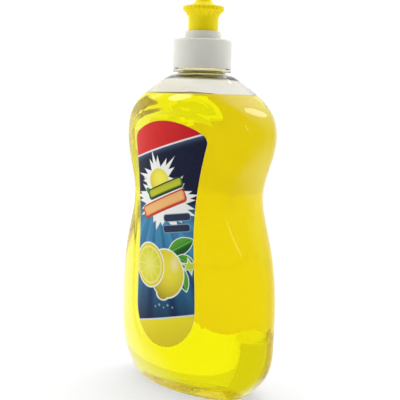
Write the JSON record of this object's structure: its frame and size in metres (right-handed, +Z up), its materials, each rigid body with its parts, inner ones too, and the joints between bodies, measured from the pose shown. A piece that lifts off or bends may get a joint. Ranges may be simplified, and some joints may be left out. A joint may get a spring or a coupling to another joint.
{
  "type": "dish soap bottle",
  "caption": "Clear waisted squeeze bottle of yellow dish soap with film labels, a white screw closure and a yellow push-pull spout.",
  "frame": {"origin": "centre of the standing ring, on the surface it stands on", "axes": "+Z up along the neck's axis, +X along the bottle's width, front label facing -Y"},
  "size_m": [0.096, 0.0548, 0.2048],
  "materials": {
    "clear_pet": "clear blown PET, glossy",
    "lemon_detergent": "clear lemon yellow liquid",
    "front_print": "printed film, red, navy and yellow fields, glossy",
    "back_print": "printed film, plain yellow, glossy",
    "foam_liner": "foamed polyethylene",
    "white_polypropylene": "moulded, satin gloss",
    "yellow_polyethylene": "moulded, satin gloss"
  },
  "bodies": {
    "bottle": {"bottle": "clear_pet", "detergent": "lemon_detergent", "front_label": "front_print", "back_label": "back_print"},
    "liner": {"closure_liner": "foam_liner"},
    "closure": {"screw_closure": "white_polypropylene"},
    "spout": {"pull_spout": "yellow_polyethylene"}
  },
  "joints": [
    {"name": "closure_lift", "type": "slide", "parent": "bottle", "child": "liner", "axis": [0, 0, 1], "range_m": [0, 0.00636]},
    {"name": "closure_turn", "type": "hinge", "parent": "liner", "child": "closure", "pos_m": [0, 0, 0.175], "axis": [0, 0, 1], "range_deg": [0, 540]},
    {"name": "spout_pull", "type": "slide", "parent": "closure", "child": "spout", "axis": [0, 0, 1], "range_m": [0, 0.006]}
  ],
  "couplings": [
    {"joint": "closure_lift", "follows": "closure_turn", "m_per_rad": 0.0006737}
  ]
}
